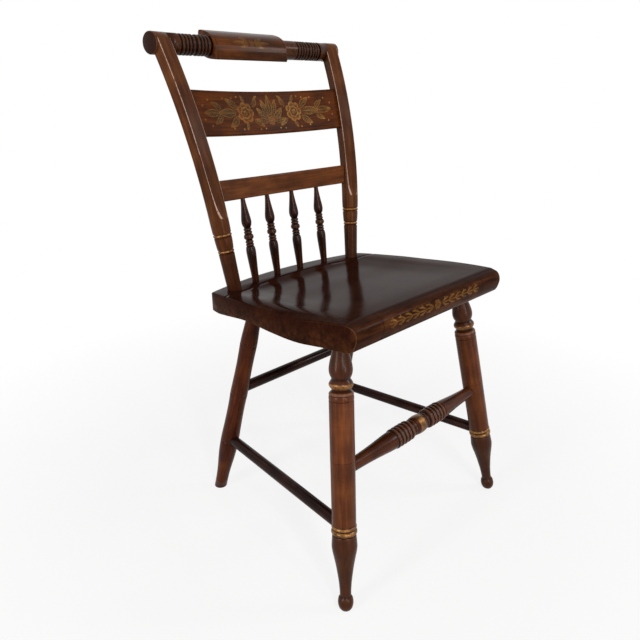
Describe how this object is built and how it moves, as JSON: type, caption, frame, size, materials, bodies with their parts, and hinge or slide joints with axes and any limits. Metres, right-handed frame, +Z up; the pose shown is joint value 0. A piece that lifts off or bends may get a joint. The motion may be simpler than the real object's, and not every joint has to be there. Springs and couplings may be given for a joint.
{
  "type": "stenciled painted side chair",
  "caption": "Plank-seated painted side chair with turned legs and stretchers, bent posts, a turned crest with a pillow block, a broad slat, a stay rail and short spindles.",
  "frame": {"origin": "on the floor, under the middle of the chair's outline", "axes": "+Z up, +X to the chair's right as seen from the front (the viewer's right), front faces -Y"},
  "size_m": [0.4598, 0.496, 0.8716],
  "materials": {
    "seat_paint": "glossy worn brown paint",
    "leg_paint": "satin brown paint with gold rings",
    "back_paint": "satin dark brown paint with gold rings",
    "slat_paint": "satin dark brown paint with bronze stencil",
    "spindle_paint": "satin brown paint with gold beads"
  },
  "bodies": {
    "root": {"seat_plank": "seat_paint", "front_leg_left": "leg_paint", "front_leg_right": "leg_paint", "rear_leg_left": "leg_paint", "rear_leg_right": "leg_paint", "front_stretcher": "leg_paint", "side_stretcher_left": "leg_paint", "side_stretcher_right": "leg_paint", "rear_stretcher": "leg_paint", "back_post_left": "back_paint", "back_post_right": "back_paint", "crest_rail": "back_paint", "back_slat": "slat_paint", "stay_rail": "back_paint", "spindle_1": "spindle_paint", "spindle_2": "spindle_paint", "spindle_3": "spindle_paint", "spindle_4": "spindle_paint"}
  },
  "joints": []
}
